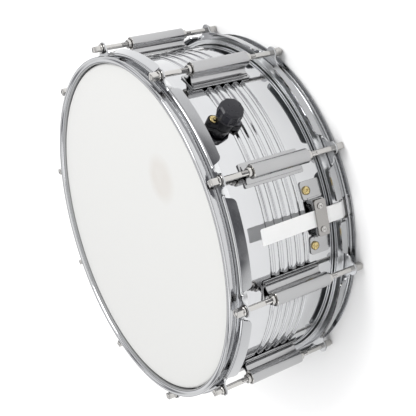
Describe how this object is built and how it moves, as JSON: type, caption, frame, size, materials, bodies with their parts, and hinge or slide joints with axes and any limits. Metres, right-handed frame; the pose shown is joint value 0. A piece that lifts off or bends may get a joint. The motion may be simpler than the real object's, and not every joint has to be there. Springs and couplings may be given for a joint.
{
  "type": "snare drum",
  "caption": "Steel snare drum with grooved chrome shell, tube lugs, tension rods, flanged hoops, two heads, snare wires, strainer and internal muffler.",
  "frame": {"origin": "centre of the lower (snare side) rim's plane, on the drum's axis, which is the surface the drum stands on", "axes": "+Z along the drum's axis from the snare side to the batter head; lug 1 is 12 degrees from +X, the butt is at 30 degrees and the strainer at 210 degrees, counterclockwise seen from above"},
  "size_m": [0.3912, 0.3976, 0.151],
  "materials": {
    "chrome_plate": "polished chrome plate on steel",
    "nickel_plate": "bright nickel plate, slightly warm",
    "flesh_hoop_aluminium": "plain drawn aluminium",
    "coated_film": "polyester film with a fine sprayed white coating",
    "snare_film": "thin hazy polyester film",
    "snare_steel": "bright drawn steel wire",
    "strap_plastic": "satin white polyester strip",
    "brass_screw": "yellow zinc or brass plated screw",
    "black_plastic": "moulded black plastic, satin",
    "felt": "pressed wool felt"
  },
  "bodies": {
    "drum": {"shell": "chrome_plate", "vent_grommet": "chrome_plate", "batter_hoop": "chrome_plate", "snare_hoop": "chrome_plate", "butt_bracket": "chrome_plate", "butt_clamp_plate": "chrome_plate", "strainer_base": "chrome_plate", "lug_01": "chrome_plate", "lug_02": "chrome_plate", "lug_03": "chrome_plate", "lug_04": "chrome_plate", "lug_05": "chrome_plate", "lug_06": "chrome_plate", "lug_07": "chrome_plate", "lug_08": "chrome_plate", "lug_09": "chrome_plate", "lug_10": "chrome_plate", "butt_clamp_screw_left": "nickel_plate", "butt_clamp_screw_right": "nickel_plate", "muffler_bracket": "nickel_plate", "batter_head_film": "coated_film", "snare_head_film": "snare_film", "batter_flesh_hoop": "flesh_hoop_aluminium", "snare_flesh_hoop": "flesh_hoop_aluminium", "butt_strap": "strap_plastic", "strainer_strap": "strap_plastic", "butt_mounting_screw_left": "brass_screw", "butt_mounting_screw_right": "brass_screw", "muffler_screw_lower": "brass_screw", "muffler_screw_upper": "brass_screw", "muffler_base": "black_plastic"},
    "lever": {"strainer_lever": "chrome_plate"},
    "carriage": {"strainer_yoke": "nickel_plate", "strainer_clamp_block": "chrome_plate", "strainer_clamp_plate": "chrome_plate"},
    "tension_screw": {"strainer_tension_screw": "nickel_plate"},
    "snares": {"snare_wires": "snare_steel"},
    "muffler_knob": {"muffler_knob": "black_plastic"},
    "muffler_arm": {"muffler_arm": "nickel_plate", "muffler_felt_pad": "felt"},
    "rod_batter_01": {"tension_rod_batter_01": "nickel_plate"},
    "rod_batter_02": {"tension_rod_batter_02": "nickel_plate"},
    "rod_batter_03": {"tension_rod_batter_03": "nickel_plate"},
    "rod_batter_04": {"tension_rod_batter_04": "nickel_plate"},
    "rod_batter_05": {"tension_rod_batter_05": "nickel_plate"},
    "rod_batter_06": {"tension_rod_batter_06": "nickel_plate"},
    "rod_batter_07": {"tension_rod_batter_07": "nickel_plate"},
    "rod_batter_08": {"tension_rod_batter_08": "nickel_plate"},
    "rod_batter_09": {"tension_rod_batter_09": "nickel_plate"},
    "rod_batter_10": {"tension_rod_batter_10": "nickel_plate"},
    "rod_snare_01": {"tension_rod_snare_01": "nickel_plate"},
    "rod_snare_02": {"tension_rod_snare_02": "nickel_plate"},
    "rod_snare_03": {"tension_rod_snare_03": "nickel_plate"},
    "rod_snare_04": {"tension_rod_snare_04": "nickel_plate"},
    "rod_snare_05": {"tension_rod_snare_05": "nickel_plate"},
    "rod_snare_06": {"tension_rod_snare_06": "nickel_plate"},
    "rod_snare_07": {"tension_rod_snare_07": "nickel_plate"},
    "rod_snare_08": {"tension_rod_snare_08": "nickel_plate"},
    "rod_snare_09": {"tension_rod_snare_09": "nickel_plate"},
    "rod_snare_10": {"tension_rod_snare_10": "nickel_plate"}
  },
  "joints": [
    {"name": "lever_throw", "type": "hinge", "parent": "drum", "child": "lever", "pos_m": [-0.16454, -0.095, 0.084], "axis": [0.5, -0.866, 0], "range_deg": [0, 100]},
    {"name": "carriage_drop", "type": "slide", "parent": "drum", "child": "carriage", "axis": [0, 0, -1], "range_m": [0, 0.0062], "deforming": ["strainer_strap"]},
    {"name": "snare_drop", "type": "slide", "parent": "drum", "child": "snares", "axis": [0, 0, -1], "range_m": [0, 0.0028], "deforming": ["butt_strap"]},
    {"name": "strainer_screw_turn", "type": "hinge", "parent": "carriage", "child": "tension_screw", "pos_m": [-0.16325, -0.09425, 0.09], "axis": [0, 0, 1], "continuous": true},
    {"name": "muffler_knob_turn", "type": "hinge", "parent": "drum", "child": "muffler_knob", "pos_m": [0.0803, 0.1722, 0.1025], "axis": [0.4226, 0.9063, 0], "range_deg": [0, 180]},
    {"name": "muffler_arm_swing", "type": "hinge", "parent": "drum", "child": "muffler_arm", "pos_m": [0.07058, 0.15135, 0.118], "axis": [0.9063, -0.4226, 0], "range_deg": [0, 12]},
    {"name": "tension_rod_batter_01_turn", "type": "hinge", "parent": "drum", "child": "rod_batter_01", "pos_m": [0.18859, 0.04009, 0.14], "axis": [0, 0, 1], "continuous": true},
    {"name": "tension_rod_batter_02_turn", "type": "hinge", "parent": "drum", "child": "rod_batter_02", "pos_m": [0.12901, 0.14328, 0.14], "axis": [0, 0, 1], "continuous": true},
    {"name": "tension_rod_batter_03_turn", "type": "hinge", "parent": "drum", "child": "rod_batter_03", "pos_m": [0.02015, 0.19174, 0.14], "axis": [0, 0, 1], "continuous": true},
    {"name": "tension_rod_batter_04_turn", "type": "hinge", "parent": "drum", "child": "rod_batter_04", "pos_m": [-0.0964, 0.16697, 0.14], "axis": [0, 0, 1], "continuous": true},
    {"name": "tension_rod_batter_05_turn", "type": "hinge", "parent": "drum", "child": "rod_batter_05", "pos_m": [-0.17613, 0.07842, 0.14], "axis": [0, 0, 1], "continuous": true},
    {"name": "tension_rod_batter_06_turn", "type": "hinge", "parent": "drum", "child": "rod_batter_06", "pos_m": [-0.18859, -0.04009, 0.14], "axis": [0, 0, 1], "continuous": true},
    {"name": "tension_rod_batter_07_turn", "type": "hinge", "parent": "drum", "child": "rod_batter_07", "pos_m": [-0.12901, -0.14328, 0.14], "axis": [0, 0, 1], "continuous": true},
    {"name": "tension_rod_batter_08_turn", "type": "hinge", "parent": "drum", "child": "rod_batter_08", "pos_m": [-0.02015, -0.19174, 0.14], "axis": [0, 0, 1], "continuous": true},
    {"name": "tension_rod_batter_09_turn", "type": "hinge", "parent": "drum", "child": "rod_batter_09", "pos_m": [0.0964, -0.16697, 0.14], "axis": [0, 0, 1], "continuous": true},
    {"name": "tension_rod_batter_10_turn", "type": "hinge", "parent": "drum", "child": "rod_batter_10", "pos_m": [0.17613, -0.07842, 0.14], "axis": [0, 0, 1], "continuous": true},
    {"name": "tension_rod_snare_01_turn", "type": "hinge", "parent": "drum", "child": "rod_snare_01", "pos_m": [0.18859, 0.04009, 0.011], "axis": [0, 0, 1], "continuous": true},
    {"name": "tension_rod_snare_02_turn", "type": "hinge", "parent": "drum", "child": "rod_snare_02", "pos_m": [0.12901, 0.14328, 0.011], "axis": [0, 0, 1], "continuous": true},
    {"name": "tension_rod_snare_03_turn", "type": "hinge", "parent": "drum", "child": "rod_snare_03", "pos_m": [0.02015, 0.19174, 0.011], "axis": [0, 0, 1], "continuous": true},
    {"name": "tension_rod_snare_04_turn", "type": "hinge", "parent": "drum", "child": "rod_snare_04", "pos_m": [-0.0964, 0.16697, 0.011], "axis": [0, 0, 1], "continuous": true},
    {"name": "tension_rod_snare_05_turn", "type": "hinge", "parent": "drum", "child": "rod_snare_05", "pos_m": [-0.17613, 0.07842, 0.011], "axis": [0, 0, 1], "continuous": true},
    {"name": "tension_rod_snare_06_turn", "type": "hinge", "parent": "drum", "child": "rod_snare_06", "pos_m": [-0.18859, -0.04009, 0.011], "axis": [0, 0, 1], "continuous": true},
    {"name": "tension_rod_snare_07_turn", "type": "hinge", "parent": "drum", "child": "rod_snare_07", "pos_m": [-0.12901, -0.14328, 0.011], "axis": [0, 0, 1], "continuous": true},
    {"name": "tension_rod_snare_08_turn", "type": "hinge", "parent": "drum", "child": "rod_snare_08", "pos_m": [-0.02015, -0.19174, 0.011], "axis": [0, 0, 1], "continuous": true},
    {"name": "tension_rod_snare_09_turn", "type": "hinge", "parent": "drum", "child": "rod_snare_09", "pos_m": [0.0964, -0.16697, 0.011], "axis": [0, 0, 1], "continuous": true},
    {"name": "tension_rod_snare_10_turn", "type": "hinge", "parent": "drum", "child": "rod_snare_10", "pos_m": [0.17613, -0.07842, 0.011], "axis": [0, 0, 1], "continuous": true}
  ],
  "couplings": [
    {"joint": "carriage_drop", "follows": "lever_throw", "m_per_rad": 0.003512},
    {"joint": "snare_drop", "follows": "lever_throw", "m_per_rad": 0.00155},
    {"joint": "muffler_arm_swing", "follows": "muffler_knob_turn", "ratio": 0.066667}
  ]
}
